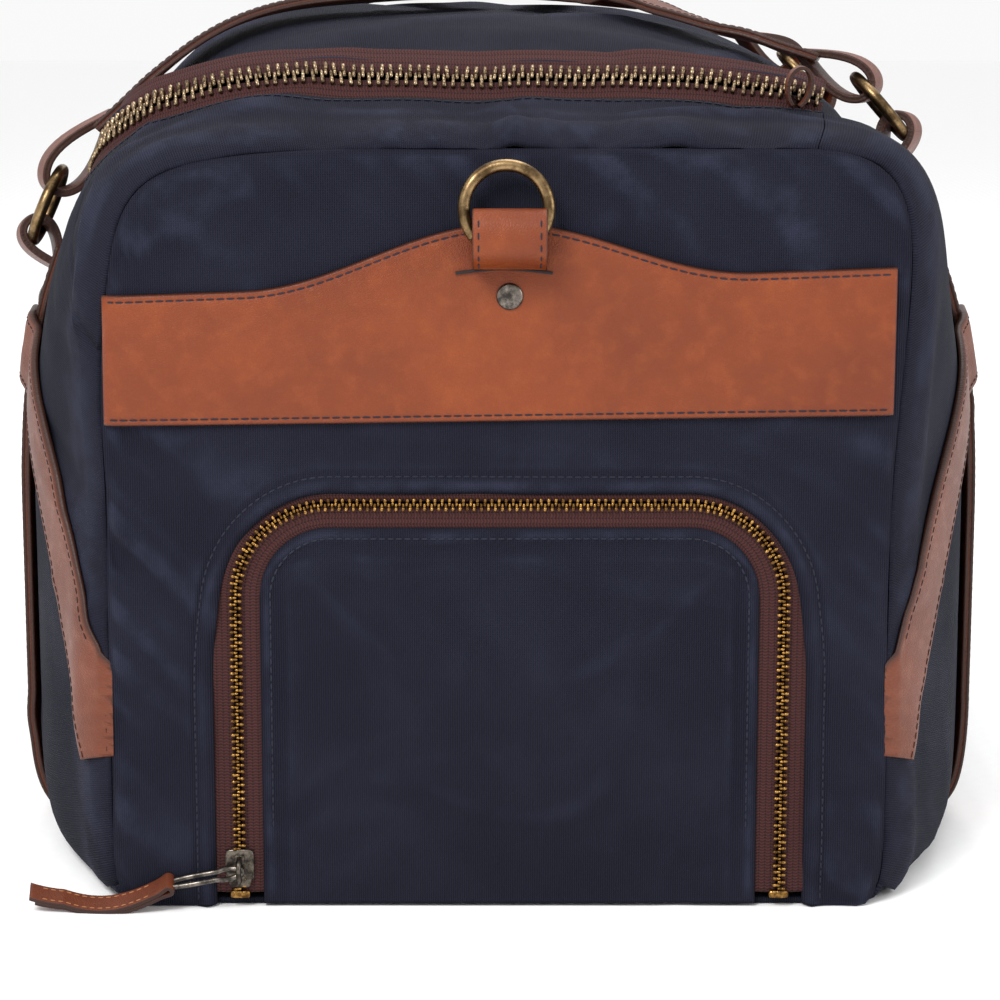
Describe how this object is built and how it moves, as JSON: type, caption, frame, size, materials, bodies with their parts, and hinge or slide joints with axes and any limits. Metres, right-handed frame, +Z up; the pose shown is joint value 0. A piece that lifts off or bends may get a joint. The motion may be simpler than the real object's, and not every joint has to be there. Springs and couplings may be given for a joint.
{
  "type": "weekender bag",
  "caption": "Soft canvas weekender bag with leather trim, zipped U-shaped lid, two strap handles on rings, and a shoe pocket with an arched zip in one end.",
  "frame": {"origin": "middle of the flat underside of the base, on the surface that the bag stands on", "axes": "+Z up; +Y along the bag's length, from the end with the shoe pocket to the other end; +X to the right seen from the shoe pocket's end, towards the lid's hinge"},
  "size_m": [0.379, 0.5792, 0.3266],
  "materials": {
    "canvas": "waxed woven cotton canvas",
    "lining": "plain woven lining",
    "board": "stiff fibre board",
    "leather": "smooth vegetable-tanned leather with dark edges",
    "zip_tape": "ribbed woven tape",
    "zip_brass": "antique brass",
    "ring_brass": "antique brass, darkened",
    "slider_brass": "antique brass, dark",
    "gunmetal": "dark gunmetal"
  },
  "bodies": {
    "root": {"base_panel": "canvas", "base_board": "board", "side_panel_left": "canvas", "side_panel_right": "canvas", "near_end_panel": "canvas", "far_end_panel": "canvas", "gusset_near": "canvas", "gusset_left": "canvas", "gusset_far": "canvas", "main_zip_tape_outer": "zip_tape", "main_zip_chain_outer": "zip_brass", "zip_end_tab_near": "leather", "zip_end_tab_far": "leather", "shoe_zip_tape_outer": "zip_tape", "shoe_zip_chain_outer": "zip_brass", "shoe_zip_stops": "zip_brass", "shoe_pouch": "lining", "near_end_band": "leather", "far_end_band": "leather", "near_ring_chape": "leather", "far_ring_chape": "leather", "chape_rivets": "gunmetal", "belly_strap_near": "leather", "belly_strap_far": "leather", "brace_band_near_left": "leather", "brace_band_near_right": "leather", "brace_band_far_left": "leather", "brace_band_far_right": "leather", "strap_rivets": "gunmetal"},
    "lid": {"lid_panel": "canvas", "main_zip_tape_inner": "zip_tape", "main_zip_chain_inner": "zip_brass"},
    "shoe_door": {"shoe_door_panel": "canvas", "shoe_zip_tape_inner": "zip_tape", "shoe_zip_chain_inner": "zip_brass"},
    "end_ring_near": {"near_end_ring": "ring_brass"},
    "end_ring_far": {"far_end_ring": "ring_brass"},
    "rings_left": {"side_ring_left_near": "ring_brass", "side_ring_left_far": "ring_brass"},
    "rings_right": {"side_ring_right_near": "ring_brass", "side_ring_right_far": "ring_brass"},
    "handle_left": {"handle_strap_left": "leather"},
    "handle_right": {"handle_strap_right": "leather"},
    "main_slider": {"main_slider_body": "slider_brass"},
    "main_pull": {"main_pull_wire": "gunmetal"},
    "main_tab": {"main_pull_leather": "leather"},
    "shoe_slider": {"shoe_slider_body": "slider_brass"},
    "shoe_pull": {"shoe_pull_wire": "gunmetal"},
    "shoe_tab": {"shoe_pull_leather": "leather"}
  },
  "joints": [
    {"name": "lid_open", "type": "hinge", "parent": "root", "child": "lid", "pos_m": [0.122, 0, 0.2913], "axis": [0, 1, 0], "range_deg": [0, 100], "deforming": ["handle_strap_left", "handle_strap_right"]},
    {"name": "shoe_door_fold", "type": "hinge", "parent": "root", "child": "shoe_door", "pos_m": [0.004, -0.27, 0.025], "axis": [1, 0, 0], "range_deg": [0, 95]},
    {"name": "end_ring_near_swing", "type": "hinge", "parent": "root", "child": "end_ring_near", "pos_m": [0.004, -0.28108, 0.2425], "axis": [1, 0, 0], "range_deg": [0, 180]},
    {"name": "end_ring_far_swing", "type": "hinge", "parent": "root", "child": "end_ring_far", "pos_m": [0.004, 0.28108, 0.2425], "axis": [-1, 0, 0], "range_deg": [0, 180]},
    {"name": "rings_left_swing", "type": "hinge", "parent": "root", "child": "rings_left", "pos_m": [-0.1805, 0, 0.23431], "axis": [0, -1, 0], "range_deg": [0, 60]},
    {"name": "rings_right_swing", "type": "hinge", "parent": "root", "child": "rings_right", "pos_m": [0.15576, 0, 0.27431], "axis": [0, 1, 0], "range_deg": [0, 60]},
    {"name": "handle_left_swing", "type": "hinge", "parent": "rings_left", "child": "handle_left", "pos_m": [-0.1712, 0, 0.25604], "axis": [0, -1, 0], "range_deg": [0, 110]},
    {"name": "handle_right_swing", "type": "hinge", "parent": "rings_right", "child": "handle_right", "pos_m": [0.1403, 0, 0.29218], "axis": [0, 1, 0], "range_deg": [0, 110]},
    {"name": "main_slider_run", "type": "slide", "parent": "root", "child": "main_slider", "axis": [0, 1, 0], "range_m": [-0.2, 0]},
    {"name": "main_pull_swing", "type": "hinge", "parent": "main_slider", "child": "main_pull", "pos_m": [-0.15835, 0.1, 0.26428], "axis": [-0.7979, 0, 0.6028], "range_deg": [-100, 0]},
    {"name": "main_tab_lift", "type": "hinge", "parent": "main_pull", "child": "main_tab", "pos_m": [-0.15835, 0.1262, 0.26428], "axis": [0.6028, 0, 0.7979], "range_deg": [0, 90]},
    {"name": "shoe_slider_run", "type": "slide", "parent": "root", "child": "shoe_slider", "axis": [0, 0, 1], "range_m": [0, 0.09]},
    {"name": "shoe_pull_swing", "type": "hinge", "parent": "shoe_slider", "child": "shoe_pull", "pos_m": [-0.094, -0.2756, 0.0146], "axis": [0, 1, 0], "range_deg": [0, 150]},
    {"name": "shoe_tab_lift", "type": "hinge", "parent": "shoe_pull", "child": "shoe_tab", "pos_m": [-0.12006, -0.2756, 0.01186], "axis": [-0.1045, 0, 0.9945], "range_deg": [0, 90]}
  ]
}
